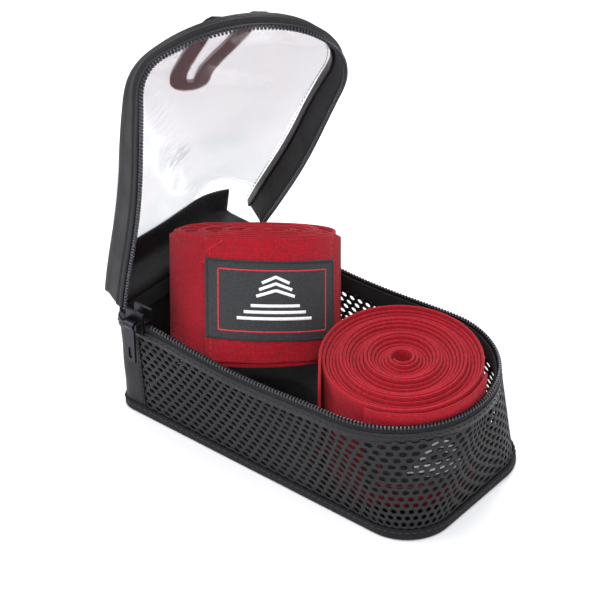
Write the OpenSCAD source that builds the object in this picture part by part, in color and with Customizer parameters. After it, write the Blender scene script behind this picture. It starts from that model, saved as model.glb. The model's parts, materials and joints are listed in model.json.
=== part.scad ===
// Pair of rolled boxing hand wraps in a zipped mesh case with a clear lid.
// The case stands on its base. X runs from the hinge end to the round end, Y across, Z up.
// The origin is the centre of the underside. The lid is drawn open and the first wrap propped up.

/* [Case] */
// Outer length of the case at the rim
case_l = 138; // [132:1:160]
// Outer width of the case at the rim
case_w = 76; // [72:1:90]
// Height of the rim above the underside
rim_h = 45; // [40:1:55]
// How much narrower the base is than the rim, on each side
base_inset = 2; // [0:0.5:4]
// Radius of the two base corners at the round end
base_corner_r = 17.5; // [10:0.5:30]
// Radius of the two corners at the hinge end
hinge_corner_r = 6; // [4:0.5:10]
// Thickness of the mesh walls and the base
wall_t = 1.2; // [0.8:0.1:2]

/* [Lid] */
// Angle between the open lid and the rim plane
open_angle = 82; // [60:1:90]
// Forward curl of the free part of the open lid
curl_angle = 41; // [0:1:45]
// Depth of the lid from the zip edge to the window seam
lid_depth = 13; // [10:0.5:18]
// How far the window seam lies inside the zip edge
seam_inset = 4.5; // [2:0.5:7]
// Height of the window's bulge above its seam
window_bulge = 4; // [2:0.5:6]

/* [Zip] */
// Distance between teeth
tooth_pitch = 2.6; // [2:0.1:4]
// Length of the slider along the zip
slider_l = 8; // [6:0.5:10]
// Length of the pull tab
pull_l = 16; // [12:0.5:22]

/* [Wraps] */
// Radius of a rolled wrap
roll_r = 29.5; // [26:0.5:30]
// Width of the wrap band, which is the height of a roll
band_w = 48; // [44:1:50]
// Lean of the propped first wrap
wrap_1_lean = 27; // [15:1:28]
// Lean of the second wrap towards the near side
wrap_2_lean = 4; // [0:1:6]

/* [Hidden] */
eps = 0.01;

// Outline of the case
rim_end_r = case_w / 2;
hinge_x = -case_l / 2;
bend_x = hinge_x + 7;
round_x = case_l / 2 - rim_end_r;
layer = 0.02;
split_x = round_x + 6;

// Rim parts, measured down from the rim
tape_gap = 0.6;
tooth_drop = 0.6;
tooth_h = 1.4;
tape_w = 7;
tape_t = 0.8;
binding_h = 3.5;
binding_t = 0.8;
binding_lift = 0.4;
tape_start_x = bend_x + 0.5;

// Crease between the near and far parts of the lid
crease_from = [bend_x, 33];
crease_to = [58, -46];
crease_dir = (crease_to - crease_from) / norm(crease_to - crease_from);
crease_angle = atan2(crease_dir[1], crease_dir[0]);
crease_gap = 0.3;
lid_start_x = bend_x + 2.5;
far_start_x = bend_x + 3.5;
window_t = 0.6;
gusset_t = 1;

// Hanging loop, lying over the window near the free end
loop_angle = -14;
loop_root_w = 20;
loop_end_w = 14;
loop_leg_w = 6;
loop_l = 56;
loop_skew = 14;
loop_t = 1.6;
loop_z = rim_h + lid_depth + window_bulge + 2.2;

// Slider and pull
slider_x = bend_x + 1.8;
slider_h = 9;
pull_pivot_y = -case_w / 2 - 4.2;
pull_w = 4.2;
pull_t = 1;
bail_r = 0.6;

// Wraps
core_r = 3.2;
tab_span = 104;
tab_t = 1;
label_t = 0.6;
turn_t = 0.8;
wrap_1_base = [-26, -6, 24];
wrap_1_heading = 129;
wrap_1_face = -39;
wrap_2_base = [34.6, 0, 3.4];
wrap_2_heading = -51;
wrap_2_face = -28;

// --- Shared outlines -----------------------------------------------------------------------

// Plan of the rim, shrunk by d on every side
module rim_outline(d) {
    r = rim_end_r - d;
    corner = hinge_corner_r - min(d, hinge_corner_r - 1.5);
    hull() {
        translate([round_x, 0]) circle(r = r, $fn = 72);
        for (side = [-1, 1])
            translate([hinge_x + d + corner, side * (case_w / 2 - d - corner)])
                circle(r = corner, $fn = 24);
    }
}

// Plan of the base, shrunk by d on every side
module base_outline(d) {
    half_w = case_w / 2 - base_inset - d;
    r = base_corner_r - d;
    corner = hinge_corner_r - min(d, hinge_corner_r - 1.5);
    hull() {
        for (side = [-1, 1]) {
            translate([case_l / 2 - d - r, side * (half_w - r)]) circle(r = r, $fn = 48);
            translate([hinge_x + d + corner, side * (half_w - corner)]) circle(r = corner, $fn = 24);
        }
    }
}

// Solid between the base outline at z = 0 and the rim outline at z = rim_h, shrunk by d
module tub(d) {
    hull() {
        linear_extrude(layer) base_outline(d);
        translate([0, 0, rim_h - layer]) linear_extrude(layer) rim_outline(d);
    }
}

// Tub wall between two heights, between the surfaces outside and inside the wall face
module tub_band(outside, inside, low, high) {
    intersection() {
        difference() {
            tub(outside);
            translate([0, 0, -eps]) scale([1, 1, 1 + 3 * eps / rim_h]) tub(inside);
        }
        translate([-case_l, -case_w, low]) cube([2 * case_l, 2 * case_w, high - low]);
    }
}

// Upright ring that follows the rim, between two heights
module rim_ring(outside, inside, low, high) {
    translate([0, 0, low]) linear_extrude(high - low) difference() {
        rim_outline(outside);
        rim_outline(inside);
    }
}

// --- Case ------------------------------------------------------------------------------------

module base_panel() {
    color([0.07, 0.07, 0.075]) linear_extrude(wall_t) base_outline(wall_t + 0.2);
}

module bottom_binding() {
    color([0.05, 0.05, 0.055]) tub_band(-binding_t, 0, binding_lift, binding_lift + binding_h);
}

// One of the four stretches of wall, cut out of the tub by a box
module wall_part(x0, x1, y0, y1) {
    intersection() {
        tub_band(0, wall_t, 0, rim_h - tape_w);
        translate([x0, y0, -1]) cube([x1 - x0, y1 - y0, rim_h + 2]);
    }
}

module mesh_wall_near() {
    color([0.13, 0.13, 0.14]) wall_part(hinge_x + 12, split_x, -case_w, 0);
}

module mesh_wall_far() {
    color([0.13, 0.13, 0.14]) wall_part(hinge_x + 12, split_x, 0, case_w);
}

module mesh_wall_round() {
    color([0.13, 0.13, 0.14]) wall_part(split_x, case_l, -case_w, case_w);
}

module hinge_end_panel() {
    color([0.06, 0.06, 0.065]) wall_part(-case_l, hinge_x + 12, -case_w, case_w);
}

module rim_binding() {
    color([0.05, 0.05, 0.055]) rim_ring(0, wall_t, rim_h - tape_w, rim_h - tape_w + binding_h);
}

module case_zip_tape() {
    color([0.08, 0.08, 0.085]) intersection() {
        rim_ring(0.2, 0.2 + tape_t, rim_h - tape_w + binding_h, rim_h - tooth_drop - tooth_h);
        translate([tape_start_x, -case_w, 0]) cube([case_l, 2 * case_w, 2 * rim_h]);
    }
}

// Straight run of teeth along X at one side, then half the round end, repeated on the other side
module zip_row(z0, start_x, sides) {
    y = case_w / 2 - 0.2 - tape_t / 2;
    tooth = [tooth_pitch * 0.6, tape_t * 2, tooth_h];
    run = round_x - start_x;
    for (side = sides, i = [0 : floor(run / tooth_pitch) - 1])
        translate([start_x + (i + 0.5) * tooth_pitch - tooth[0] / 2, side * y - tooth[1] / 2, z0])
            cube(tooth);
    step = 180 / round(PI * y / tooth_pitch);
    for (side = sides, a = [step / 2 : step : 90])
        translate([round_x, 0, z0]) rotate(side * (90 - a + step / 4))
            translate([y - tooth[1] / 2, -tooth[0] / 2, 0]) cube([tooth[1], tooth[0], tooth_h]);
}

module case_zip_teeth() {
    color([0.2, 0.2, 0.21]) zip_row(rim_h - tooth_drop - tooth_h, slider_x + slider_l + 1, [-1]);
    color([0.2, 0.2, 0.21]) zip_row(rim_h - tooth_drop - tooth_h, tape_start_x + 4, [1]);
}

// Small block that ends a run of teeth
module zip_stop(x, side, l) {
    y = case_w / 2 - 0.2 - tape_t / 2;
    translate([x, side * y - tape_t, rim_h - tooth_drop - tooth_h]) cube([l, 2 * tape_t, tooth_h]);
}

module zip_bottom_stop() {
    color([0.25, 0.25, 0.26]) zip_stop(tape_start_x, -1, 1);
}

module zip_top_stop() {
    color([0.25, 0.25, 0.26]) zip_stop(tape_start_x + 1, 1, 2.5);
}

// Fabric of the hinge end that stands above the rim and bends when the lid moves
module hinge_strip() {
    strip_half = case_w / 2 - 5;
    color([0.06, 0.06, 0.065])
        translate([hinge_x, -strip_half, rim_h - tape_w + binding_h])
            cube([wall_t, 2 * strip_half, tape_w - binding_h + 9]);
}

// --- Lid, drawn closed and then posed --------------------------------------------------------

// Turns a closed-lid solid to the open lid
module opened() {
    translate([bend_x, 0, rim_h]) rotate([0, -open_angle, 0]) translate([-bend_x, 0, -rim_h])
        children();
}

// Turns a closed-lid solid about the crease, then opens the lid
module opened_and_curled() {
    opened()
        translate([crease_from[0], crease_from[1], rim_h]) rotate(crease_angle)
            rotate([-curl_angle, 0, 0])
                rotate(-crease_angle) translate([-crease_from[0], -crease_from[1], -rim_h])
                    children();
}

// Everything on one side of the crease, and away from the hinge
module near_side() {
    intersection() {
        children();
        translate([crease_from[0], crease_from[1], 0]) rotate(crease_angle)
            translate([-2 * case_l, -2 * case_l, 0]) cube([4 * case_l, 2 * case_l - crease_gap, 2 * rim_h]);
        translate([lid_start_x, -case_w, 0]) cube([case_l, 2 * case_w, 2 * rim_h]);
    }
}

module far_side() {
    intersection() {
        children();
        translate([crease_from[0], crease_from[1], 0]) rotate(crease_angle)
            translate([-2 * case_l, crease_gap, 0]) cube([4 * case_l, 2 * case_l, 2 * rim_h]);
        translate([far_start_x, -case_w, 0]) cube([case_l, 2 * case_w, 2 * rim_h]);
    }
}

// Solid between the zip edge and the window seam, shrunk by d
module lid_body(d, low) {
    hull() {
        translate([0, 0, low]) linear_extrude(layer) rim_outline(d);
        translate([0, 0, rim_h + lid_depth - layer]) linear_extrude(layer)
            rim_outline(seam_inset + d);
    }
}

module lid_gusset() {
    low = rim_h + tape_gap + tooth_h + tape_w / 2;
    difference() {
        lid_body(0, rim_h);
        translate([0, 0, -eps]) lid_body(gusset_t, rim_h);
        translate([-case_l, -case_w, 0]) cube([2 * case_l, 2 * case_w, low]);
        translate([-case_l, -case_w, rim_h + lid_depth - window_t])
            cube([2 * case_l, 2 * case_w, rim_h]);
    }
}

// Bulged sheet that closes the lid inside the seam
module pillow(d) {
    hull() {
        translate([0, 0, rim_h + lid_depth - window_t - d]) linear_extrude(layer)
            rim_outline(seam_inset + d);
        translate([0, 0, rim_h + lid_depth + window_bulge / 2 - d]) linear_extrude(layer)
            rim_outline(seam_inset + 4 + d);
        translate([0, 0, rim_h + lid_depth + window_bulge - d - layer]) linear_extrude(layer)
            rim_outline(seam_inset + 14 + d);
    }
}

module lid_window() {
    difference() {
        pillow(0);
        pillow(window_t);
        translate([-case_l, -case_w, 0])
            cube([2 * case_l, 2 * case_w, rim_h + lid_depth - window_t]);
    }
}

// Flat strip sewn round the window seam, outside the gusset
module lid_binding() {
    translate([0, 0, rim_h + lid_depth - binding_h]) linear_extrude(binding_h) difference() {
        rim_outline(seam_inset - 2.4);
        rim_outline(seam_inset - 1.4);
    }
}

module lid_zip_tape() {
    low = rim_h + tape_gap + tooth_h;
    rim_ring(0.2, 0.2 + tape_t, low, low + tape_w / 2);
}

module lid_zip_teeth(sides) {
    zip_row(rim_h + tape_gap, far_start_x + 1, sides);
}

module lid_near_gusset() {
    color([0.06, 0.06, 0.065]) opened() near_side() lid_gusset();
}

module lid_near_window() {
    color([0.85, 0.87, 0.88, 0.4]) opened() near_side() lid_window();
}

module lid_near_binding() {
    color([0.05, 0.05, 0.055]) opened() near_side() lid_binding();
}

module lid_near_zip_tape() {
    color([0.08, 0.08, 0.085]) opened() near_side() lid_zip_tape();
}

module lid_near_zip_teeth() {
    color([0.2, 0.2, 0.21]) opened() near_side() lid_zip_teeth([-1]);
}

module lid_far_gusset() {
    color([0.06, 0.06, 0.065]) opened_and_curled() far_side() lid_gusset();
}

module lid_far_window() {
    color([0.85, 0.87, 0.88, 0.4]) opened_and_curled() far_side() lid_window();
}

module lid_far_binding() {
    color([0.05, 0.05, 0.055]) opened_and_curled() far_side() lid_binding();
}

module lid_far_zip_tape() {
    color([0.08, 0.08, 0.085]) opened_and_curled() far_side() lid_zip_tape();
}

module lid_far_zip_teeth() {
    color([0.2, 0.2, 0.21]) opened_and_curled() far_side() lid_zip_teeth([-1, 1]);
}

// --- Hanging loop ----------------------------------------------------------------------------

// Puts a part at the loop's root on the free end, with X pointing back over the window
module at_loop_root() {
    translate([round_x, 0, 0]) rotate(loop_angle)
        translate([rim_end_r - 3, 0, loop_z]) rotate(180) children();
}

module loop_anchor() {
    anchor_l = 2;
    drop = loop_z - rim_h - lid_depth;
    color([0.05, 0.05, 0.055]) opened_and_curled() at_loop_root()
        translate([-anchor_l / 2, -loop_root_w / 2, -drop]) cube([anchor_l, loop_root_w, drop - 0.3]);
}

// Two webbing legs that run from the root and meet in a flat bight
module hanging_loop() {
    color([0.06, 0.06, 0.065]) opened_and_curled() at_loop_root() linear_extrude(loop_t)
        difference() {
            polygon([
                [0, -loop_root_w / 2], [loop_l, loop_skew - loop_end_w / 2],
                [loop_l, loop_skew + loop_end_w / 2], [0, loop_root_w / 2]
            ]);
            polygon([
                [loop_leg_w / 2, loop_leg_w - loop_root_w / 2],
                [loop_l - loop_leg_w, loop_skew - 1], [loop_l - loop_leg_w, loop_skew + 1],
                [loop_leg_w / 2, loop_root_w / 2 - loop_leg_w]
            ]);
        }
}

// --- Slider ----------------------------------------------------------------------------------

// The slider's plates lie inside and outside the rim, joined by a web between the two rows
module zip_slider() {
    plate_t = 1;
    web_t = 0.5;
    inner_y = -case_w / 2 + 0.2 + tape_t + 1.3;
    outer_y = -case_w / 2 - 1.2 - plate_t;
    color([0.12, 0.12, 0.13]) {
        translate([slider_x, outer_y, rim_h - slider_h / 2]) cube([slider_l, plate_t, slider_h]);
        translate([slider_x, inner_y, rim_h - slider_h / 2]) cube([slider_l, plate_t, slider_h]);
        translate([slider_x, outer_y, rim_h - web_t / 2])
            cube([slider_l, inner_y - outer_y + plate_t, web_t]);
        for (x = [slider_x + 0.6, slider_x + slider_l - 1.6])
            translate([x, pull_pivot_y - 0.8, rim_h - 1])
                cube([1, outer_y - pull_pivot_y + 0.9, 2]);
        translate([slider_x + 0.6, pull_pivot_y, rim_h]) rotate([0, 90, 0])
            cylinder(r = bail_r, h = slider_l - 1.2, $fn = 24);
    }
}

// Flat tab that hangs from the slider's bar by an eye, with a long hole near its end
module zip_pull() {
    eye_r = 1.6;
    mid_x = slider_x + slider_l / 2;
    slot_r = 0.9;
    color([0.14, 0.14, 0.15]) difference() {
        union() {
            translate([mid_x - pull_w / 2, pull_pivot_y, rim_h]) rotate([0, 90, 0])
                cylinder(r = eye_r, h = pull_w, $fn = 32);
            translate([mid_x - pull_w / 2, pull_pivot_y - pull_t / 2 - 0.3, rim_h - pull_l])
                cube([pull_w, pull_t, pull_l]);
        }
        translate([mid_x - pull_w, pull_pivot_y, rim_h]) rotate([0, 90, 0])
            cylinder(r = bail_r + 0.3, h = 2 * pull_w, $fn = 32);
        for (z = [0 : 3])
            translate([mid_x, pull_pivot_y + pull_w, rim_h - pull_l + 2.4 + z]) rotate([90, 0, 0])
                cylinder(r = slot_r, h = 2 * pull_w, $fn = 24);
    }
}

// --- Wraps, drawn upright on their own axis and then placed ----------------------------------

module wrap_place(base, heading, lean, face) {
    translate(base) rotate(heading) rotate([0, lean, 0]) rotate(face - heading) children();
}

module at_wrap_1() {
    wrap_place(wrap_1_base, wrap_1_heading, wrap_1_lean, wrap_1_face) children();
}

module at_wrap_2() {
    wrap_place(wrap_2_base, wrap_2_heading, wrap_2_lean, wrap_2_face) children();
}

// Part of a ring round the wrap's axis, centred on its face
module face_patch(inner, outer, span, low, high) {
    translate([0, 0, low]) rotate(-span / 2)
        rotate_extrude(angle = span, $fn = 96) translate([inner, 0]) square([outer - inner, high - low]);
}

module coil() {
    difference() {
        cylinder(r = roll_r - turn_t, h = band_w, $fn = 96);
        translate([0, 0, -1]) cylinder(r = core_r, h = band_w + 2, $fn = 32);
    }
}

module core_loop() {
    translate([0, 0, 1]) cylinder(r = core_r - 0.3, h = band_w - 2, $fn = 32);
}

// The last turn of the band, with a gap where its end has been folded back
module outer_turn() {
    gap = 8;
    rotate(180) face_patch(roll_r - turn_t, roll_r, 360 - gap, 0.4, band_w - 0.4);
}

module hook_tab() {
    face_patch(roll_r, roll_r + tab_t, tab_span, 1.5, band_w - 1.5);
}

module label() {
    face_patch(roll_r + tab_t, roll_r + tab_t + label_t, tab_span - 3, band_w / 2 - 14, band_w / 2 + 15);
}

module wrap_1_coil() {
    color([0.65, 0.06, 0.13]) at_wrap_1() coil();
}

module wrap_1_core_loop() {
    color([0.6, 0.05, 0.12]) at_wrap_1() core_loop();
}

module wrap_1_outer_turn() {
    color([0.68, 0.07, 0.14]) at_wrap_1() outer_turn();
}

module wrap_1_hook_tab() {
    color([0.62, 0.06, 0.13]) at_wrap_1() hook_tab();
}

module wrap_1_label() {
    color([0.22, 0.23, 0.24]) at_wrap_1() label();
}

module wrap_2_coil() {
    color([0.65, 0.06, 0.13]) at_wrap_2() coil();
}

module wrap_2_core_loop() {
    color([0.6, 0.05, 0.12]) at_wrap_2() core_loop();
}

module wrap_2_outer_turn() {
    color([0.68, 0.07, 0.14]) at_wrap_2() outer_turn();
}

module wrap_2_hook_tab() {
    color([0.62, 0.06, 0.13]) at_wrap_2() hook_tab();
}

module wrap_2_label() {
    color([0.22, 0.23, 0.24]) at_wrap_2() label();
}

base_panel();
bottom_binding();
mesh_wall_near();
mesh_wall_far();
mesh_wall_round();
hinge_end_panel();
rim_binding();
case_zip_tape();
case_zip_teeth();
zip_bottom_stop();
zip_top_stop();
hinge_strip();
lid_near_gusset();
lid_near_window();
lid_near_binding();
lid_near_zip_tape();
lid_near_zip_teeth();
lid_far_gusset();
lid_far_window();
lid_far_binding();
lid_far_zip_tape();
lid_far_zip_teeth();
loop_anchor();
hanging_loop();
zip_slider();
zip_pull();
wrap_1_coil();
wrap_1_core_loop();
wrap_1_hook_tab();
wrap_1_label();
wrap_1_outer_turn();
wrap_2_coil();
wrap_2_core_loop();
wrap_2_hook_tab();
wrap_2_label();
wrap_2_outer_turn();
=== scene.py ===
"""Looks for a pair of rolled hand wraps in a zipped mesh case with a clear, creased lid.

Pieces are worked out in millimetres, and add_mesh() turns them into metres. X runs from the hinge end
to the round end, Y across, Z up. Lid pieces are drawn on the closed lid and then laid on the open one.
"""
import json
import math

import bmesh
import bpy
import numpy as np
from mathutils import Matrix, Vector


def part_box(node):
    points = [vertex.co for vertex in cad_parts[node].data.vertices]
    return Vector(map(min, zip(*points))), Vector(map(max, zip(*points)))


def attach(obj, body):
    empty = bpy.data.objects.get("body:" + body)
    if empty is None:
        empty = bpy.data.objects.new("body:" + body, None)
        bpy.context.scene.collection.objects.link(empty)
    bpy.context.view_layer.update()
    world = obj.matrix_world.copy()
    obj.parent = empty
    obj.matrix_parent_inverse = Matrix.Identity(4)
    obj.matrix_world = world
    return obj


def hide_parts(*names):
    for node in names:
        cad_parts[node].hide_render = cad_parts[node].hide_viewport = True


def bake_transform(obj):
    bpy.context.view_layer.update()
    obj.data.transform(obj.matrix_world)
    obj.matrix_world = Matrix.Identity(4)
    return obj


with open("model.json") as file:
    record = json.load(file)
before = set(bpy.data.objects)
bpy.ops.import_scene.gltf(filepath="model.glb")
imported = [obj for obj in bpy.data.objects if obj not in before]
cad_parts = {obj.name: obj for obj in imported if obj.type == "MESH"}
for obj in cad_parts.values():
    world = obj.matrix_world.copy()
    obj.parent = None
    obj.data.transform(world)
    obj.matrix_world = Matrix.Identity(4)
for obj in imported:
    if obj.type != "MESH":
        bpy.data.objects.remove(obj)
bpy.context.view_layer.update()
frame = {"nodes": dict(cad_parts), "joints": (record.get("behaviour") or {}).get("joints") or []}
scene = bpy.context.scene
MM = 0.001
TAU = 2 * math.pi


# --- Driving dimensions, from the frame where it has them ----------------------------------------

def node_box(name):
    """Lowest and highest corners of a CAD node, in millimetres."""
    low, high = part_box(name)
    return np.array(low) / MM, np.array(high) / MM


RIM_LOW, RIM_HIGH = node_box("rim_binding")
HALF_W = RIM_HIGH[1]
HINGE_X, ROUND_X1 = RIM_LOW[0], RIM_HIGH[0]
JOINTS = {j["name"]: j for j in frame["joints"]}


def joint_point(name):
    return np.array(JOINTS[name]["pos_m"], float) / MM


HINGE = joint_point("lid_hinge")
CREASE = joint_point("lid_crease")
RIM_Z = HINGE[2]
OPEN_ANGLE = math.radians(-JOINTS["lid_hinge"]["range_deg"][0])
CURL_ANGLE = math.radians(-JOINTS["lid_crease"]["range_deg"][0])

# Case. Its base inset and corner radii repeat the CAD's
BASE_INSET = 2
BASE_CORNER_R = 17.5
CORNER_R = 6
ROUND_X = ROUND_X1 - HALF_W
CLOTH_CORNER = 12
ROUND_WALL_START = ROUND_X + 6
WALL_TOP = RIM_Z - 6.5
WALL_LOW = 3.2
SAG = 2.5

# Lid. LID_DEPTH and SEAM_INSET repeat the CAD's. Unlike the CAD's, its free end is shallower by TIP_DROP
LID_DEPTH = 13
TIP_DROP = 4.5
TIP_START_X = HINGE_X + 70
TIP_RUN = 62
SEAM_INSET = 4.5
SEAM_HALF_W = HALF_W - SEAM_INSET
BULGE = 4
BULGE_RUN = 14
WINDOW_START = HINGE_X + 18
HINGE_FABRIC_T = 0.8

# Hanging loop, turned from the lid's length by LOOP_ANGLE
LOOP_ANGLE = math.radians(-14)
LOOP_ROOT_INSET = 3
LOOP_ROOT_Z = RIM_Z + LID_DEPTH + BULGE + 2.2
LOOP_BEND_L = 12

# Wraps. A roll may bulge at SLACK_AT, as far as SLACK_SPAN each way, and its last LOOSE_SPAN stands off
ROLL_R = 29.5
BAND_W = 48
CORE_R = 3.4
TURNS = 21
STEPS_PER_TURN = 80
RING_STEP = 8.5
TAB_SPAN = math.radians(104)
TAB_T = 1
SLACK_AT, SLACK_SPAN = math.radians(-112), math.radians(58)
LOOSE_SPAN = 0.45

# Label, leaning by TILT
LABEL_W, LABEL_H, LABEL_Z = 53, 29, 24.5
LABEL_T = 0.6
TILT = math.radians(-2.0)


# --- Camera, lights and floor --------------------------------------------------------------------

CAMERA_AZIMUTH, CAMERA_ELEVATION = 38.83, 34.44
CAMERA_PLACE = (0.4213, -0.5377, 0.5275)
CAMERA_LENS, SENSOR_W = 139.1, 36
LIGHT_AIM = (0, 0, 0.06)


def add_camera():
    azimuth, elevation = math.radians(CAMERA_AZIMUTH), math.radians(CAMERA_ELEVATION)
    back = Vector((math.sin(azimuth) * math.cos(elevation), -math.cos(azimuth) * math.cos(elevation),
                   math.sin(elevation)))
    data = bpy.data.cameras.new("camera")
    data.lens = CAMERA_LENS
    data.sensor_width = SENSOR_W
    camera = bpy.data.objects.new("camera", data)
    camera.location = CAMERA_PLACE
    camera.rotation_euler = (-back).to_track_quat("-Z", "Y").to_euler()
    scene.collection.objects.link(camera)
    scene.camera = camera


def add_light(name, place, size, power):
    data = bpy.data.lights.new(name, "AREA")
    data.size = size
    data.energy = power
    light = bpy.data.objects.new(name, data)
    light.location = place
    light.rotation_euler = (Vector(LIGHT_AIM) - Vector(place)).to_track_quat("-Z", "Y").to_euler()
    scene.collection.objects.link(light)


def add_studio():
    world = bpy.data.worlds.new("studio")
    world.use_nodes = True
    back = world.node_tree.nodes["Background"]
    back.inputs["Color"].default_value = (0.95, 0.96, 1, 1)
    back.inputs["Strength"].default_value = 0.72
    scene.world = world
    scene.view_settings.view_transform = "Standard"
    add_light("key", (0.35, -0.45, 0.75), 0.5, 6)
    add_light("fill", (-0.6, -0.35, 0.5), 0.5, 3)
    add_light("top", (-0.25, 0.45, 0.75), 0.5, 5)
    bpy.ops.mesh.primitive_plane_add(size=6, location=(0, 0, -0.0002))
    floor = bpy.context.object
    floor.name = "floor"
    floor.data.materials.append(paint("floor_paint", (0.86, 0.86, 0.87), 0.8))


# --- Materials -----------------------------------------------------------------------------------

class Shader:
    """A material with a few helpers for adding nodes to it."""

    def __init__(self, name, colour, roughness, metallic=0.0):
        self.material = bpy.data.materials.new(name)
        self.material.use_nodes = True
        self.tree = self.material.node_tree
        self.principled = self.tree.nodes["Principled BSDF"]
        self.principled.inputs["Base Color"].default_value = (*colour, 1)
        self.principled.inputs["Roughness"].default_value = roughness
        self.principled.inputs["Metallic"].default_value = metallic

    def node(self, kind, **inputs):
        made = self.tree.nodes.new(kind)
        for key, value in inputs.items():
            made.inputs[key].default_value = value
        return made

    def link(self, source, target):
        self.tree.links.new(source, target)

    def math(self, operation, first, second=None):
        made = self.tree.nodes.new("ShaderNodeMath")
        made.operation = operation
        for socket, value in zip(made.inputs, (first, second)):
            if hasattr(value, "node"):
                self.link(value, socket)
            elif value is not None:
                socket.default_value = value
        return made.outputs[0]

    def coordinates(self, kind):
        return self.node("ShaderNodeTexCoord").outputs[kind]

    def noise(self, scale, detail=3.0):
        made = self.node("ShaderNodeTexNoise", Scale=scale, Detail=detail)
        self.link(self.coordinates("Object"), made.inputs["Vector"])
        return made.outputs[0]

    def vary_colour(self, value, dark, light):
        ramp = self.node("ShaderNodeValToRGB")
        stops = ramp.color_ramp.elements
        for stop, position, colour in ((stops[0], 0.3, dark), (stops[1], 0.7, light)):
            stop.position = position
            stop.color = (*colour, 1)
        self.link(value, ramp.inputs[0])
        self.link(ramp.outputs[0], self.principled.inputs["Base Color"])

    def vary_roughness(self, value, low, high):
        spread = self.math("MULTIPLY", value, high - low)
        self.link(self.math("ADD", spread, low), self.principled.inputs["Roughness"])

    def bump(self, value, strength, distance):
        made = self.node("ShaderNodeBump", Strength=strength, Distance=distance)
        self.link(value, made.inputs["Height"])
        self.link(made.outputs[0], self.principled.inputs["Normal"])


def linear(rgb):
    """Linear colour from an sRGB one given as 0 to 255."""
    return tuple(((c / 255 + 0.055) / 1.055) ** 2.4 if c > 10 else c / 255 / 12.92 for c in rgb)


def tinted(colour, factor):
    return tuple(min(1, c * factor) for c in colour)


def paint(name, colour, roughness):
    made = Shader(name, colour, roughness)
    made.vary_roughness(made.noise(40), roughness * 0.85, min(1, roughness * 1.15))
    return made.material


def knit(name, rgb, across=0.9, along=0.7, depth=0.0004, speckle=0.35):
    """Knitted or woven cloth. UVs are millimetres: U along the cloth, V across it."""
    colour = linear(rgb)
    made = Shader(name, colour, 0.85)
    split = made.node("ShaderNodeSeparateXYZ")
    made.link(made.coordinates("UV"), split.inputs[0])
    u, v = split.outputs[0], split.outputs[1]
    ribs = made.math("SINE", made.math("MULTIPLY", u, TAU / across))
    lean = made.math("MULTIPLY", made.math("ABSOLUTE", ribs), TAU * 0.35)
    rows = made.math("SINE", made.math("ADD", made.math("MULTIPLY", v, TAU / along), lean))
    cloth = made.math("ADD", made.math("MULTIPLY", ribs, 0.5), rows)
    grain = made.noise(900, detail=2.0)
    both = made.math("ADD", made.math("MULTIPLY", cloth, 0.22), grain)
    made.vary_colour(both, tinted(colour, 1 - speckle), tinted(colour, 1 + speckle))
    made.vary_roughness(grain, 0.75, 0.95)
    made.bump(both, 0.7, depth)
    made.principled.inputs["Sheen Weight"].default_value = 0.04
    made.principled.inputs["Specular IOR Level"].default_value = 0.25
    return made.material


def smooth_cloth(name, rgb, roughness=0.7):
    """Tight plain-weave nylon: almost smooth, with a fine grain and shallow waves."""
    colour = linear(rgb)
    made = Shader(name, colour, roughness)
    fine = made.noise(1500)
    broad = made.noise(90)
    both = made.math("ADD", fine, made.math("MULTIPLY", broad, 1.5))
    made.vary_colour(fine, tinted(colour, 0.75), tinted(colour, 1.3))
    made.vary_roughness(broad, roughness * 0.8, min(1, roughness * 1.2))
    made.bump(both, 0.5, 0.0005)
    made.principled.inputs["Specular IOR Level"].default_value = 0.35
    return made.material


def metal(name, rgb, roughness):
    made = Shader(name, linear(rgb), roughness, 0.9)
    worn = made.noise(220)
    made.vary_roughness(worn, roughness * 0.7, roughness * 1.5)
    made.bump(worn, 0.15, 0.0002)
    return made.material


def clear_vinyl(name):
    made = Shader(name, linear((206, 210, 214)), 0.08)
    made.principled.inputs["Alpha"].default_value = 0.5
    made.principled.inputs["Transmission Weight"].default_value = 0.9
    made.principled.inputs["IOR"].default_value = 1.52
    waves = made.noise(26, detail=1.5)
    made.vary_roughness(waves, 0.05, 0.2)
    made.bump(waves, 0.9, 0.006)
    made.material.surface_render_method = "BLENDED"
    return made.material


# --- Mesh helpers --------------------------------------------------------------------------------

def add_mesh(name, verts, faces, material, uvs=None, smooth=True):
    mesh = bpy.data.meshes.new(name)
    mesh.from_pydata((np.asarray(verts, float) * MM).tolist(), [], faces)
    mesh.update()
    mesh.polygons.foreach_set("use_smooth", [smooth] * len(mesh.polygons))
    work = bmesh.new()
    work.from_mesh(mesh)
    bmesh.ops.recalc_face_normals(work, faces=work.faces)
    work.to_mesh(mesh)
    work.free()
    if uvs is not None:
        corners = np.empty(len(mesh.loops), np.int32)
        mesh.loops.foreach_get("vertex_index", corners)
        layer = mesh.uv_layers.new(name="UVMap")
        layer.data.foreach_set("uv", np.asarray(uvs, np.float32)[corners].ravel())
    made = bpy.data.objects.new(name, mesh)
    scene.collection.objects.link(made)
    mesh.materials.append(material)
    return made


def grid_faces(rows, columns, loop_rows=False, loop_columns=False):
    """Quads of a grid of vertices, stored row after row."""
    faces = []
    for i in range(rows if loop_rows else rows - 1):
        here, there = i * columns, (i + 1) % rows * columns
        for j in range(columns if loop_columns else columns - 1):
            k = (j + 1) % columns
            faces.append((here + j, here + k, there + k, there + j))
    return faces


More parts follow.
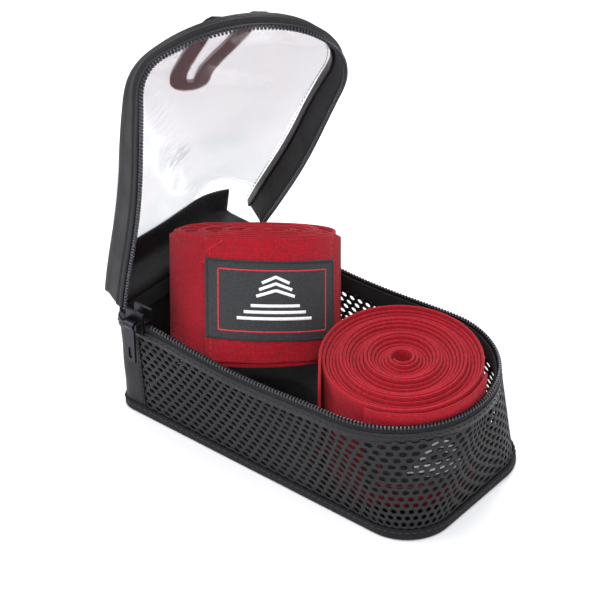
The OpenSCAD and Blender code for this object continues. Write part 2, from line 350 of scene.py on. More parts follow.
def loft(name, rings, material, closed=False, tube=True):
    """Skin over rings of points, shape (rings, points, 3). A tube's rings close on themselves.
    UVs are millimetres along the rings and round them."""
    rings = np.asarray(rings, float)
    count, points = rings.shape[:2]
    faces = grid_faces(count, points, closed, tube)
    if tube and not closed:
        faces.append(tuple(range(points)))
        faces.append(tuple((count - 1) * points + j for j in range(points)))
    steps = np.linalg.norm(np.diff(rings, axis=0), axis=2).mean(1)
    along = np.concatenate([[0], np.cumsum(steps)])
    widths = np.linalg.norm(np.diff(rings, axis=1), axis=2).mean(0)
    across = np.concatenate([[0], np.cumsum(widths)])
    uvs = np.stack(np.broadcast_arrays(along[:, None], across[None, :]), -1).reshape(-1, 2)
    return add_mesh(name, rings.reshape(-1, 3), faces, material, uvs)


def thicken(piece, amount):
    """Gives a sheet a thickness, half on each side."""
    made = piece.modifiers.new("thickness", "SOLIDIFY")
    made.thickness = amount * MM
    made.offset = 0


def soften(piece, width):
    made = piece.modifiers.new("edges", "BEVEL")
    made.width = width * MM
    made.segments = 2
    made.limit_method = "ANGLE"


def run_length(path):
    """Distance along a path, at each of its points."""
    return np.concatenate([[0], np.cumsum(np.linalg.norm(np.diff(path, axis=0), axis=1))])


def along_path(values, run, at):
    """Values given at the points of a path, at some distances along it."""
    return np.stack([np.interp(at, run, values[:, k]) for k in range(values.shape[1])], -1)


def sideways(line):
    """Unit directions across a flat line of points, to the left."""
    ahead = np.gradient(line, axis=0)
    ahead /= np.linalg.norm(ahead, axis=1)[:, None]
    return np.stack([-ahead[:, 1], ahead[:, 0]], -1)


def shifted(faces, first):
    return [tuple(first + v for v in face) for face in faces]


# --- Outlines of the case ------------------------------------------------------------------------

ARC_STEPS = 26
SIDE_STEPS = 84
END_STEPS = 24
SAG_START_X = HINGE_X + 8


def outline(base=False, matched=False):
    """Plan of the rim or the base from the middle of the hinge end past the near side, as points and
    outward normals. Matched outlines have the same number of points on each stretch."""
    half = HALF_W - (BASE_INSET if base else 0)
    x0, x1 = HINGE_X, ROUND_X1
    r_end, r_hinge = BASE_CORNER_R if base else HALF_W, CORNER_R
    points, normals = [], []

    def straight(start, end, steps, normal):
        for t in np.arange(steps) / steps:
            points.append((start[0] + (end[0] - start[0]) * t, start[1] + (end[1] - start[1]) * t))
            normals.append(normal)

    def arc(cx, cy, r, start):
        for a in np.radians(start + 90 * np.arange(ARC_STEPS) / ARC_STEPS):
            points.append((cx + r * math.cos(a), cy + r * math.sin(a)))
            normals.append((math.cos(a), math.sin(a)))

    straight((x0, 0), (x0, r_hinge - half), END_STEPS, (-1, 0))
    arc(x0 + r_hinge, r_hinge - half, r_hinge, 180)
    straight((x0 + r_hinge, -half), (x1 - r_end, -half), SIDE_STEPS, (0, -1))
    arc(x1 - r_end, r_end - half, r_end, 270)
    if base or matched:
        straight((x1, r_end - half), (x1, half - r_end), END_STEPS, (1, 0))
    arc(x1 - r_end, half - r_end, r_end, 0)
    straight((x1 - r_end, half), (x0 + r_hinge, half), SIDE_STEPS, (0, 1))
    arc(x0 + r_hinge, half - r_hinge, r_hinge, 90)
    straight((x0, half - r_hinge), (x0, 0), END_STEPS, (-1, 0))
    return np.array(points), np.array(normals)


def sag_at(x):
    """How far the rim hangs below its corners at x. The slider's end of the case stays straight."""
    t = np.clip((x - SAG_START_X) / (ROUND_X - HINGE_X), 0, 1)
    return SAG * np.sin(np.pi * t) ** 2


def lid_depth(x):
    """Depth of the lid from the zip edge to the window seam. The free end is shallower."""
    t = np.clip((np.asarray(x) - TIP_START_X) / TIP_RUN, 0, 1)
    return LID_DEPTH - TIP_DROP * t * t * (3 - 2 * t)


class Tub:
    """The case's wall surface: s is the distance round it, z the height and off the way outward."""

    def __init__(self):
        self.base, self.normal = outline(base=True)
        self.rim = outline(matched=True)[0]
        self.middle = (self.base + self.rim) / 2
        self.s = run_length(np.vstack([self.middle, self.middle[:1]]))
        self.length = self.s[-1]

    def _at(self, values, s):
        return along_path(np.vstack([values, values[:1]]), self.s, np.mod(s, self.length))

    def point(self, s, z, off=0.0):
        s, z = np.broadcast_arrays(np.asarray(s, float), np.asarray(z, float))
        t = (z / RIM_Z)[..., None]
        plan = self._at(self.base, s) * (1 - t) + self._at(self.rim, s) * t
        plan = plan + self._at(self.normal, s) * np.asarray(off)[..., None]
        height = z - sag_at(plan[..., 0]) * z / RIM_Z
        return np.concatenate([plan, height[..., None]], -1)

    def s_at_x(self, x, side):
        """Where the wall at mid-height passes x on one side: -1 for the near one, 1 for the far one."""
        rows = np.nonzero(self.middle[:, 1] * side > HALF_W / 2)[0]
        return self.s[rows[np.argmin(abs(self.middle[rows, 0] - x))]]


TUB = Tub()


def rim_run(start_x=None):
    """Points and normals along the rim. With start_x, an open run that leaves out the hinge end."""
    plan, normal = outline()
    if start_x is None:
        return plan, normal
    keep = plan[:, 0] > start_x
    first = np.nonzero(keep)[0][0]
    order = np.arange(first, first + keep.sum())
    return plan[order], normal[order]


def rim_strip(plan, normal, profile, place=lambda p: p):
    """Rings of a strip along the rim. The profile is (outward, height above the rim) pairs."""
    profile = np.array(profile, float)
    flat = plan[:, None, :] + normal[:, None, :] * profile[None, :, :1]
    height = RIM_Z + profile[None, :, 1] - sag_at(flat[..., 0])
    return place(np.concatenate([flat, height[..., None]], -1))


EDGE_POINTS = 5


def rounded_section(outward, low, high, half, edge):
    """Section of a flat strip, half a thickness each way, with edges rounded over a height of edge."""
    section = []
    for middle, first in ((high - edge, 0), (low + edge, 180)):
        for a in np.radians(np.linspace(first, first + 180, EDGE_POINTS)):
            section.append((outward + half * math.cos(a), middle + edge * math.sin(a)))
    return section


def rounded_strip(outward, low, high, thick):
    """Section of a flat strip with round edges at low and high. Its middle is outward by outward."""
    return rounded_section(outward, low, high, thick / 2, thick / 2)


# --- Case ----------------------------------------------------------------------------------------

HEX_W, HEX_H = 3.9, 2.5
NET_IN, NET_T = 0.5, 0.55

# A hole's size, and a cell as corners and middles of its edges, in shares of the cell's width and height
HOLE_W, HOLE_H = 0.66, 0.72
HEX_RIM = np.array([(0, 2 / 3), (0.25, 0.5), (0.5, 1 / 3), (0.5, 0), (0.5, -1 / 3), (0.25, -0.5),
                    (0, -2 / 3), (-0.25, -0.5), (-0.5, -1 / 3), (-0.5, 0), (-0.5, 1 / 3), (-0.25, 0.5)])


def hex_net(name, s0, s1, material):
    """Net of hexagonal holes on the wall between two distances round it."""
    columns = max(2, round((s1 - s0) / HEX_W))
    width = (s1 - s0) / columns
    rows = round((WALL_TOP - WALL_LOW) / HEX_H)
    height = (WALL_TOP - WALL_LOW) / rows
    turn = np.arctan2(HEX_RIM[:, 1] * 1.2, HEX_RIM[:, 0])
    hole = np.stack([HOLE_W / 2 * np.cos(turn), HOLE_H / 2 * np.sin(turn)], -1)
    points = len(HEX_RIM)
    flat, faces = [], []
    for j in range(rows + 1):
        for i in range(columns + 1):
            middle = np.array([s0 + (i + (j % 2) / 2) * width, WALL_LOW + j * height])
            first = len(flat)
            for ring in (HEX_RIM, hole):
                spot = middle + ring * (width, height)
                spot[:, 0] = np.clip(spot[:, 0], s0, s1)
                spot[:, 1] = np.clip(spot[:, 1], WALL_LOW, WALL_TOP)
                flat.extend(spot.tolist())
            faces += shifted(grid_faces(2, points, False, True), first)
    keys, back = np.unique(np.round(np.array(flat), 3), axis=0, return_inverse=True)
    back = back.ravel().tolist()
    merged = [tuple(back[v] for v in face) for face in faces]
    merged = [face for face in merged if len(set(face)) == len(face)]
    net = add_mesh(name, TUB.point(keys[:, 0], keys[:, 1], -NET_IN), merged, material, keys)
    thicken(net, NET_T)
    return net


def hinge_end_cloth(s_values, material):
    """Smooth cloth over the hinge end, slightly wavy."""
    s, z = np.meshgrid(s_values, np.linspace(0.6, RIM_Z - 1, 9), indexing="ij")
    off = -0.3 + 0.25 * np.sin(z * 0.35 + s * 0.09) * np.sin(s * 0.22)
    panel = loft("hinge_end_cloth", TUB.point(s, z, off), material, tube=False)
    thicken(panel, 0.7)
    return panel


# A stitch is thin at both ends: places along it, and its radius there, in shares of length and width
STITCH_AT = np.array([0, 0.2, 0.5, 0.8, 1])
STITCH_R = (0.12, 0.42, 0.5, 0.42, 0.12)
STITCH_SIDES = 6
FIRST_STITCH = 0.3

# A direction that no seam runs along
OFF_ALL_SEAMS = (0.31, 0.22, 0.93)


def stitches(name, paths, material, pitch=2.6, length=1.7, width=0.42):
    """Short rounded threads laid along lines of points, as one piece."""
    verts, faces = [], []
    tube = grid_faces(len(STITCH_AT), STITCH_SIDES, False, True)
    for path in paths:
        run = run_length(path)
        for start in np.arange(FIRST_STITCH, run[-1] - length, pitch):
            spine = along_path(path, run, start + STITCH_AT * length)
            ahead = spine[-1] - spine[0]
            ahead = ahead / np.linalg.norm(ahead)
            side = np.cross(ahead, OFF_ALL_SEAMS)
            side = side / np.linalg.norm(side)
            lift = np.cross(side, ahead)
            faces += shifted(tube, len(verts))
            for point, r in zip(spine, STITCH_R):
                for turn in TAU * np.arange(STITCH_SIDES) / STITCH_SIDES:
                    verts.append(point + r * width * (side * math.cos(turn) + lift * math.sin(turn)))
    return add_mesh(name, verts, faces, material)


TOOTH_PITCH, TOOTH_INSET = 1.35, 0.45


def teeth(name, plan, normal, low, material, place=lambda p: p):
    """Moulded zip teeth along a run of the rim, as one piece."""
    run = run_length(plan)
    at = np.arange(TOOTH_PITCH / 2, run[-1], TOOTH_PITCH)
    half_l, half_t, tall = 0.42, 0.75, 1.5
    section = [(-half_t, 0.25), (-half_t, tall - 0.5), (-half_t + 0.4, tall), (half_t - 0.4, tall),
               (half_t, tall - 0.5), (half_t, 0.25), (half_t - 0.3, 0), (-half_t + 0.3, 0)]
    verts, faces = [], []
    count = len(section)
    for spot, out in zip(along_path(plan, run, at), along_path(normal, run, at)):
        ahead = np.array([-out[1], out[0]])
        first = len(verts)
        for step, shrink in ((-half_l, 0.75), (-half_l * 0.6, 1), (half_l * 0.6, 1), (half_l, 0.75)):
            for o, h in section:
                flat = spot + out * (o * shrink - TOOTH_INSET) + ahead * step
                height = RIM_Z + low + tall / 2 + (h - tall / 2) * shrink - sag_at(flat[0])
                verts.append((flat[0], flat[1], height))
        caps = [tuple(range(count)), tuple(range(3 * count, 4 * count))]
        faces += shifted(grid_faces(4, count, False, True) + caps, first)
    return add_mesh(name, place(np.array(verts)), faces, material, smooth=False)


def sewn(piece, body, slot_name, *nodes):
    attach(piece, body)
    if nodes:
        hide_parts(*nodes)


def build_case(mats):
    corner_near, corner_far = (TUB.s_at_x(HINGE_X + CLOTH_CORNER, side) for side in (-1, 1))
    round_near, round_far = (TUB.s_at_x(ROUND_WALL_START, side) for side in (-1, 1))
    for node, s0, s1 in (("mesh_wall_near", corner_near, round_near),
                         ("mesh_wall_round", round_near, round_far),
                         ("mesh_wall_far", round_far, corner_far)):
        net = hex_net(node.replace("wall", "net"), s0, s1, mats["mesh"])
        sewn(net, "case", "case_mesh", node)

    around = np.linspace(corner_far, corner_near + TUB.length, 60)
    sewn(hinge_end_cloth(around, mats["cloth"]), "case", "case_fabric", "hinge_end_panel")
    corners = [TUB.point(s, np.linspace(3, RIM_Z - 5, 14), 0.15) for s in (corner_near, corner_far)]
    sewn(stitches("corner_stitching", corners, mats["thread"], 2.2, 1.5, 0.5), "case", "binding")

    all_round = np.linspace(0, TUB.length, 260, endpoint=False)
    profile = np.array(rounded_strip(0.35, 0.3, 4.1, 0.9))
    rings = TUB.point(all_round[:, None], profile[None, :, 1], profile[None, :, 0])
    sewn(loft("bottom_tape", rings, mats["tape"], closed=True), "case", "binding", "bottom_binding")
    line = TUB.point(all_round, WALL_LOW, 0.85)
    sewn(stitches("bottom_stitching", [line], mats["thread"]), "case", "binding")

    plan, normal = rim_run()
    band = rim_strip(plan, normal, rounded_strip(0.1, -7.4, -3.6, 0.9))
    sewn(loft("rim_band", band, mats["smooth"], closed=True), "case", "binding", "rim_binding")
    open_plan, open_normal = rim_run(HINGE[0] + 0.5)
    outer = rim_strip(open_plan, open_normal, rounded_strip(-0.2, -4.2, -1.2, 0.7))
    sewn(loft("zip_tape_outer", outer, mats["tape"]), "case", "zip_tape", "case_zip_tape")
    inner = rim_strip(plan, normal, rounded_strip(-1.7, -8.5, -1.6, 0.6))
    sewn(loft("zip_tape_inner", inner, mats["tape"], closed=True), "case", "zip_tape")

    slider_end = node_box("zip_slider")[1][0] + 0.6
    keep = (open_plan[:, 0] > slider_end) | (open_plan[:, 1] > 0)
    row = teeth("case_teeth", open_plan[keep], open_normal[keep], -2.0, mats["teeth"])
    sewn(row, "case", "zip_teeth", "case_zip_teeth")
    stitch_line = rim_strip(plan, normal, [(0.65, -5.4)])[:, 0]
    sewn(stitches("rim_stitching", [stitch_line], mats["thread"]), "case", "binding")


# --- Lid -----------------------------------------------------------------------------------------

# The lid bends over a slab this far each way from its crease
SLAB = 11
CURL_ROUNDS = 40


def turn_about(points, pivot, axis, angle):
    """Turns points about an axis through the pivot. The angle may differ from point to point."""
    axis = np.asarray(axis, float) / np.linalg.norm(axis)
    rel = points - pivot
    cos, sin = np.cos(angle)[..., None], np.sin(angle)[..., None]
    along = (rel @ axis)[..., None] * axis
    return pivot + along + (rel - along) * cos + np.cross(axis, rel) * sin


def opened(points):
    """Closed-lid points on the open lid, before its crease."""
    points = np.asarray(points, float)
    return turn_about(points, HINGE, (0, -1, 0), np.full(points.shape[:-1], OPEN_ANGLE))


def closed_direction(axis):
    """A direction of the open lid, as it is when the lid is closed."""
    made = turn_about(np.array([axis], float), np.zeros(3), (0, -1, 0), np.array([-OPEN_ANGLE]))
    return made[0] / np.linalg.norm(made[0])


# The crease's axis, and the way across it towards the free end, both on the closed lid
CURL_AXIS = closed_direction(JOINTS["lid_crease"]["axis"])
CREASE_NORMAL = np.cross(CURL_AXIS, (0, 0, 1.0))
CREASE_NORMAL = CREASE_NORMAL / np.linalg.norm(CREASE_NORMAL) * np.sign(CREASE_NORMAL[0])


def curled(points, rigid=False):
    """Closed-lid points turned about the crease: all of them, or smoothly across its slab. A point's
    turn depends on where it ends up, so it is settled in rounds."""
    points = np.asarray(points, float)
    if rigid:
        return turn_about(points, CREASE, CURL_AXIS, np.full(points.shape[:-1], CURL_ANGLE))
    weight = np.zeros(points.shape[:-1])
    for _ in range(CURL_ROUNDS):
        moved = turn_about(points, CREASE, CURL_AXIS, weight * CURL_ANGLE)
        t = np.clip(((moved - CREASE) @ CREASE_NORMAL + SLAB) / (2 * SLAB), 0, 1)
        weight = weight * 0.5 + t * t * (3 - 2 * t) * 0.5
    return turn_about(points, CREASE, CURL_AXIS, weight * CURL_ANGLE)


def lid_place(points):
    return opened(curled(points))


def lid_piece(piece, slot_name, *nodes):
    """Bakes a lid piece's placing into its mesh and hides the CAD nodes it stands for."""
    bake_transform(piece)
    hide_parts(*nodes)


def seam_depth(x, y):
    """Distance inside the window seam."""
    side = SEAM_HALF_W - np.where(x > ROUND_X, np.hypot(x - ROUND_X, y), abs(y))
    return np.maximum(0, np.minimum(side, x - HINGE_X - SEAM_INSET))


def window_height(x, y):
    """Height of the closed lid's swollen, rippled top."""
    t = np.clip(seam_depth(x, y) / BULGE_RUN, 0, 1)
    swell = BULGE * t * (2 - t)
    ripple = 0.35 * np.sin(x * 0.16 + y * 0.07) * np.sin(y * 0.13 - x * 0.04) * t
    return RIM_Z + lid_depth(x) + swell + ripple


def build_lid_edges(mats):
    """The side cloth, tape, teeth and window edge, from the zip up."""
    near, far = "lid_near_", "lid_far_"
    plan, normal = rim_run(HINGE[0] + 0.2)
    drop = (lid_depth(plan[:, 0]) - LID_DEPTH)[:, None, None] * (0, 0, 1)

    def strip(profile):
        return rim_strip(plan, normal, profile, lid_place)

    def seam_strip(profile):
        """A strip that follows the window seam, whose height falls towards the free end."""
        return lid_place(rim_strip(plan, normal, profile) + drop)

    def side_wall(profile):
        """A strip from the zip edge up to the window seam."""
        share = np.clip(np.array(profile)[:, 1] / LID_DEPTH, 0, 1)[None, :, None]
        return lid_place(rim_strip(plan, normal, profile) + drop * share)

    levels = np.linspace(0, 1, 9)
    wall = [(-(SEAM_INSET - 0.6) * t ** 1.2, 2.2 + (LID_DEPTH - 2.4) * t) for t in levels]
    gusset = loft("lid_side_cloth", side_wall(wall), mats["cloth"], tube=False)
    thicken(gusset, 0.8)
    lid_piece(gusset, "case_fabric", near + "gusset", far + "gusset")

    tape = loft("lid_tape", strip(rounded_strip(-0.5, 2.0, 5.6, 0.8)), mats["tape"])
    lid_piece(tape, "zip_tape", near + "zip_tape", far + "zip_tape")

    row = teeth("lid_teeth", plan, normal, 0.5, mats["teeth"], lid_place)
    lid_piece(row, "zip_teeth", near + "zip_teeth", far + "zip_teeth")

    profile = rounded_strip(-SEAM_INSET + 0.9, LID_DEPTH - 2.6, LID_DEPTH + 1.0, 1.3)
    edge = loft("window_edge_tape", seam_strip(profile), mats["smooth"])
    lid_piece(edge, "binding", near + "binding", far + "binding")
    line = seam_strip([(-SEAM_INSET - 0.3, LID_DEPTH + 0.9)])[:, 0]
    sewing = stitches("window_stitching", [line], mats["thread"], 2.4, 1.6, 0.4)
    lid_piece(sewing, "binding")


WINDOW_ROWS, WINDOW_COLUMNS = 90, 49


def build_window(mats):
    """Clear sheet from the hinge cloth to the free end. Its grid is finer near the seam."""
    end_x = ROUND_X1 - SEAM_INSET
    along = 1 - np.cos(np.linspace(0, np.pi / 2, WINDOW_ROWS))
    x = end_x - (end_x - WINDOW_START) * along[::-1]
    past = np.maximum(x - ROUND_X, 0)
    half = np.sqrt(np.maximum(SEAM_HALF_W ** 2 - past ** 2, 0))
    share = np.sin(np.linspace(-np.pi / 2, np.pi / 2, WINDOW_COLUMNS))
    xs, ys = np.broadcast_arrays(x[:, None], half[:, None] * share[None])
    sheet = np.stack([xs, ys, window_height(xs, ys)], -1)
    window = loft("window_sheet", lid_place(sheet), mats["vinyl"], tube=False)
    thicken(window, 0.35)
    lid_piece(window, "window", "lid_near_window", "lid_far_window")


FLAP_ROWS, FLAP_COLUMNS = 14, 61


def build_hinge_cloth(mats):
    """Cloth from the case's rim, up the back and over to the window. It bends where the lid turns."""
    across = np.linspace(-1, 1, FLAP_COLUMNS)
    rim_y = across * (HALF_W - 1.2)
    corner = np.clip((abs(rim_y) - (HALF_W - CORNER_R - 1)) / CORNER_R, 0, 1)
    rim_x = HINGE_X + 0.9 + (1 - np.sqrt(1 - corner ** 2)) * CORNER_R
    low = np.stack([rim_x, rim_y, np.full_like(rim_x, RIM_Z - 3.5)], -1)
    lift = low + (0, 0, 4.0)
    seam_y = across * SEAM_HALF_W
    top = []
    for x_at in (HINGE_X + 9, HINGE_X + 13, WINDOW_START + 1.5):
        xs = np.full_like(seam_y, x_at)
        top.append(opened(np.stack([xs, seam_y, window_height(xs, seam_y) + 0.2], -1)))
    stack = np.array([low, lift, *top])
    knots = np.linspace(0, 1, len(stack))
    at = np.linspace(0, 1, FLAP_ROWS)
    rings = np.stack([along_path(stack[:, i], knots, at) for i in range(FLAP_COLUMNS)], 1)
    flap = loft("hinge_cloth", rings, mats["cloth"], tube=False)
    thicken(flap, HINGE_FABRIC_T)
    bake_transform(flap)
    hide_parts("hinge_strip")


def loop_to_lid(local):
    """Points given from the loop's root, in the closed lid."""
    cos, sin = math.cos(LOOP_ANGLE), math.sin(LOOP_ANGLE)
    out, side = HALF_W - LOOP_ROOT_INSET - local[..., 0], -local[..., 1]
    return np.stack([ROUND_X + out * cos - side * sin, out * sin + side * cos, local[..., 2]], -1)


def build_loop(mats):
    """Webbing down one leg, round a flat bight and up the other, lying on the window."""
    legs = [(2.2, -7.0), (14, -4.2), (30, 2.2), (44, 9.0)]
    bight = [(50 + 3.4 * math.cos(a), 14 + 4.4 * math.sin(a)) for a in np.linspace(-1.5, 1.5, 9)]
    back = [(44, 18.2), (30, 14.6), (14, 10.0), (2.2, 7.0)]
    knots = np.array(legs + bight + back)
    run = run_length(knots)
    line = along_path(knots, run, np.linspace(0, run[-1], 90))
    for _ in range(4):
        line[1:-1] = (line[:-2] + 2 * line[1:-1] + line[2:]) / 4
    profile = np.array([(h, w) for w, h in rounded_strip(0.7, -3.1, 3.1, 1.3)])
    flat = line[:, None] + sideways(line)[:, None] * profile[None, :, :1]
    placed = loop_to_lid(np.insert(flat, 2, 0, axis=-1))
    middle = loop_to_lid(np.insert(line, 2, 0, axis=-1))
    clear = window_height(middle[:, 0], middle[:, 1]) + 0.8
    placed[..., 2] = clear[:, None] + profile[None, :, 1]
    loop = loft("hanging_webbing", opened(curled(placed, rigid=True)), mats["webbing"])
    ends = loop_to_lid(np.array([(1.0, 0, LOOP_ROOT_Z), (LOOP_BEND_L, 0, LOOP_ROOT_Z)]))
    ends = opened(curled(ends, rigid=True)) * MM
    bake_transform(loop)
    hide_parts("hanging_loop", "loop_anchor")


# --- Wraps ---------------------------------------------------------------------------------------

def turned(degrees, axis):
    return Matrix.Rotation(math.radians(degrees), 4, axis)


class Roll:
    """Places points given on a roll's own axis. Its base, heading, lean and face are the CAD roll's.
    slack is how far its turns bulge on one side, and loose how far the band's end stands off."""

    def __init__(self, body, base, heading, lean, face, end_angle, seed, slack, loose):
        self.body, self.end_angle, self.seed = body, math.radians(end_angle), seed
        self.slack, self.loose = slack, loose
        self.matrix = np.array(Matrix.Translation(base) @ turned(heading, "Z") @ turned(lean, "Y")
                               @ turned(face - heading, "Z"))

    def place(self, points):
        points = np.asarray(points, float)
        return points @ self.matrix[:3, :3].T + self.matrix[:3, 3]

    def around(self, arc, z, r):
        """Points at a distance arc round the face from its middle."""
        turn = np.asarray(arc, float) / r
        return self.place(np.stack([r * np.cos(turn), r * np.sin(turn), np.asarray(z, float)], -1))


def band_coil(roll, material):
    """The band: one long ribbon wound on itself, its last stretch a little loose. The top edges of
    its turns rise and fall in broad rings, each turn slightly off the next."""
    angle = np.linspace(0, TURNS * TAU, TURNS * STEPS_PER_TURN)
    pitch = (ROLL_R - 0.5 - CORE_R) / TURNS
    rng = np.random.default_rng(roll.seed)
    phases, rates = rng.uniform(0, TAU, 6), rng.uniform(0.15, 1.9, 6)
    uneven = sum(np.sin(angle * rate + phase) for rate, phase in zip(rates, phases)) / 6
    step_up = rng.uniform(-0.55, 0.45, TURNS + 2)
    each = np.interp(angle / TAU, np.arange(TURNS + 2), step_up)
    settle = np.clip(np.floor(angle / TAU) / 3, 0, 1)
    radius = CORE_R + pitch * angle / TAU
    radius += 0.16 * np.sin(angle * 0.93 + phases[0]) * settle * (radius < ROLL_R - 3)
    loose = np.clip((angle - (angle[-1] - LOOSE_SPAN)) / LOOSE_SPAN, 0, 1) ** 2
    radius += roll.loose * loose
    heading = roll.end_angle - angle[-1] + angle
    off_slack = np.clip(np.angle(np.exp(1j * (heading - SLACK_AT))) / SLACK_SPAN, -1, 1)
    radius += roll.slack * (radius / ROLL_R) ** 2 * np.cos(off_slack * np.pi / 2) ** 2
    steps_in = np.cos((ROLL_R - radius) * TAU / RING_STEP)
    top = BAND_W - 1.5 + 1.2 * steps_in + 0.35 * uneven + 0.5 * each - 1.6 * loose
    low = 0.5 + 0.35 * uneven + 0.3 * abs(each) + 0.4 * loose
    section = rounded_section(radius, low, top, pitch * 0.45, 0.6)
    points = [np.stack([r * np.cos(heading), r * np.sin(heading), z], -1) for r, z in section]
    return loft(roll.body + "_band", roll.place(np.stack(points, 1)), material)


def roll_patch(roll, name, arc0, arc1, z0, z1, r, thick, material, tilt=0.0, wave=0.0):
    """A sewn patch that hugs the roll, with soft edges."""
    section = np.array(rounded_strip(r + thick / 2, z0, z1, thick))
    rings = []
    for arc in np.linspace(arc0, arc1, 60):
        ripple = wave * math.sin(arc * 0.35)
        lift = section[:, 0] + abs(ripple)
        heights = section[:, 1] + math.tan(tilt) * arc + ripple
        rings.append(np.stack([lift * math.cos(arc / r), lift * math.sin(arc / r), heights], -1))
    return loft(roll.body + name, roll.place(np.array(rings)), material)


LABEL_R = ROLL_R + TAB_T + 0.05
DRAWING_R = LABEL_R + LABEL_T - 0.05
THREAD_STEP = 0.8


def label_drawing(roll, name, strokes, material, width, thick):
    """Raised threads on the label: each stroke is a line of (arc, height) points."""
    verts, faces = [], []
    for stroke in strokes:
        stroke = np.array(stroke, float)
        run = run_length(stroke)
        count = max(3, int(run[-1] / THREAD_STEP))
        line = along_path(stroke, run, np.linspace(0, run[-1], count))
        faces += shifted(grid_faces(count, 4), len(verts))
        for (a, z), (side_a, side_z) in zip(line, sideways(line) * width / 2):
            for k, up in ((-1, 0), (-0.8, 1), (0.8, 1), (1, 0)):
                arc, height, r = a + side_a * k, z + side_z * k, DRAWING_R + thick * up
                turn = arc / DRAWING_R
                verts.append((r * math.cos(turn), r * math.sin(turn), height + math.tan(TILT) * arc))
    piece = add_mesh(roll.body + name, roll.place(np.array(verts)), faces, material)
    sewn(piece, roll.body, "label")


def border(share_w, share_h):
    """Rectangle about the label's middle, in shares of the label's width and height."""
    a, z = LABEL_W * share_w / 2, LABEL_H * share_h / 2
    return [(x * a, LABEL_Z + y * z) for x, y in ((-1, -1), (1, -1), (1, 1), (-1, 1), (-1, -1))]


def motif():
    """Three bars that narrow upward, under three chevrons."""
    bars = []
    for k in range(3):
        z, half = LABEL_Z - 6.2 + 2.3 * k, 14 - 2.5 * k
        bars.append([(-half, z), (half, z)])
    for k in range(3):
        z, half = LABEL_Z + 1.8 + 2.4 * k, 7 - k
        bars.append([(-half, z), (0, z + 2.2), (half, z)])
    return bars


def build_label(roll, mats):
    """The hook tab with its end seams, and the label with its frame and motif."""
    reach = ROLL_R * TAB_SPAN / 2 - 0.5
    tab = roll_patch(roll, "_tab", -reach, reach, 2.2, BAND_W - 1.2, ROLL_R + 0.05, TAB_T - 0.05,
                     mats["wrap"], wave=0.12)
    sewn(tab, roll.body, "hook_tape", roll.body + "_hook_tab")
    seam = reach - 1.6
    lines = [roll.around(a, z, ROLL_R + TAB_T + 0.1)
             for a, z in ((np.full(30, -seam), np.linspace(4, BAND_W - 3, 30)),
                          (np.full(30, seam), np.linspace(BAND_W - 3, 4, 30)))]
    sewing = stitches(roll.body + "_tab_stitching", lines, mats["red_thread"], 2.0, 1.4, 0.35)
    sewn(sewing, roll.body, "wrap_fabric")
    label = roll_patch(roll, "_patch", -LABEL_W / 2, LABEL_W / 2, LABEL_Z - LABEL_H / 2,
                       LABEL_Z + LABEL_H / 2, LABEL_R, LABEL_T, mats["label"], TILT)
    sewn(label, roll.body, "label", roll.body + "_label")
    label_drawing(roll, "_patch_edge", [border(0.975, 0.955)], mats["label_edge"], 0.8, 0.2)
    label_drawing(roll, "_red_line", [border(0.80, 0.76)], mats["red_line"], 0.5, 0.18)
    label_drawing(roll, "_motif", motif(), mats["white"], 1.15, 0.22)


def build_core(roll, mats):
    """The thumb loop, folded flat inside the core."""
    turns = np.linspace(0, TAU, 28, endpoint=False)
    rings = []
    for height in (1.5, 12, 20, 28, 35):
        rings.append(np.stack([2.3 * np.cos(turns), 1.1 * np.sin(turns), np.full(28, height)], -1))
    loop = loft(roll.body + "_thumb_loop", roll.place(np.array(rings)), mats["wrap"])
    sewn(loop, roll.body, "wrap_fabric", roll.body + "_core_loop")


def build_thread(roll, mats):
    """A loose thread at the top of the label's left half."""
    at = np.linspace(0, 1, 26)
    arc = -20 - 10 * at + 2.0 * np.sin(at * 9)
    z = BAND_W - 2 - 9 * at + 1.5 * np.sin(at * 7)
    spine = roll.around(arc, z, ROLL_R + 1.3)
    turns = np.linspace(0, TAU, 6, endpoint=False)
    section = 0.14 * np.stack([np.cos(turns), np.sin(turns) * 0.7, np.sin(turns)], -1)
    rings = [point + section for point in spine]
    sewn(loft(roll.body + "_loose_thread", rings, mats["red_thread"]), roll.body, "wrap_fabric")


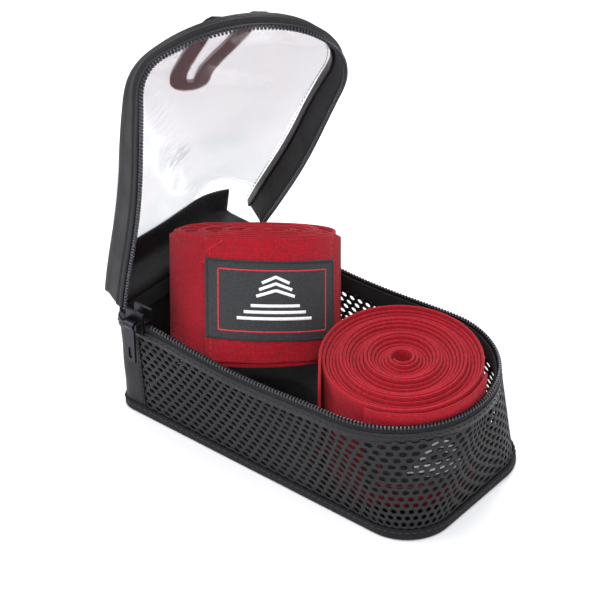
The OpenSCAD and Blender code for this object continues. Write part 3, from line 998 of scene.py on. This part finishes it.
def build_wraps(mats):
    rolls = [Roll("wrap_1", base=(-26, -6, 24), heading=129, lean=27, face=-39, end_angle=62, seed=5,
                  slack=4.5, loose=1.7),
             Roll("wrap_2", base=(34.6, 0, 3.4), heading=-51, lean=4, face=-28, end_angle=-88, seed=11,
                  slack=0, loose=3.2)]
    for roll in rolls:
        coil = band_coil(roll, mats["wrap"])
        sewn(coil, roll.body, "wrap_fabric", roll.body + "_coil", roll.body + "_outer_turn")
        build_core(roll, mats)
        build_label(roll, mats)
    build_thread(rolls[0], mats)


# --- Everything ----------------------------------------------------------------------------------

def make_materials():
    return {
        "wrap": knit("crimson_knit", (152, 11, 29)),
        "red_thread": smooth_cloth("crimson_thread", (190, 30, 52), 0.8),
        "mesh": smooth_cloth("net_yarn", (24, 24, 26), 0.6),
        "cloth": smooth_cloth("black_nylon", (15, 15, 17), 0.62),
        "smooth": smooth_cloth("black_binding", (12, 12, 14), 0.42),
        "tape": knit("black_tape", (16, 16, 18), 1.1, 0.8, 0.0004, 0.5),
        "thread": smooth_cloth("black_thread", (40, 40, 42), 0.5),
        "teeth": metal("zip_gunmetal", (70, 71, 76), 0.3),
        "metal": metal("slider_gunmetal", (52, 53, 57), 0.28),
        "webbing": knit("black_webbing", (20, 20, 22), 1.3, 1.0, 0.0006, 0.4),
        "label": knit("label_weave", (52, 53, 55), 0.6, 0.5, 0.0002, 0.25),
        "label_edge": knit("label_edge", (42, 43, 45), 0.8, 0.8, 0.0002, 0.25),
        "red_line": knit("label_red", (200, 50, 58), 0.7, 0.7, 0.0002, 0.2),
        "white": knit("label_white", (232, 232, 232), 0.6, 0.6, 0.0002, 0.12),
        "vinyl": clear_vinyl("clear_vinyl"),
    }


def dress_cad_parts(mats):
    finishes = {"base_panel": "cloth", "zip_bottom_stop": "metal", "zip_top_stop": "metal",
                "zip_slider": "metal", "zip_pull": "metal"}
    for node, finish in finishes.items():
        piece = frame["nodes"][node]
        piece.data.materials.clear()
        piece.data.materials.append(mats[finish])
        soften(piece, 0.2)


add_camera()
add_studio()
materials = make_materials()
for build in (build_case, build_lid_edges, build_window, build_hinge_cloth, build_loop, build_wraps,
              dress_cad_parts):
    build(materials)
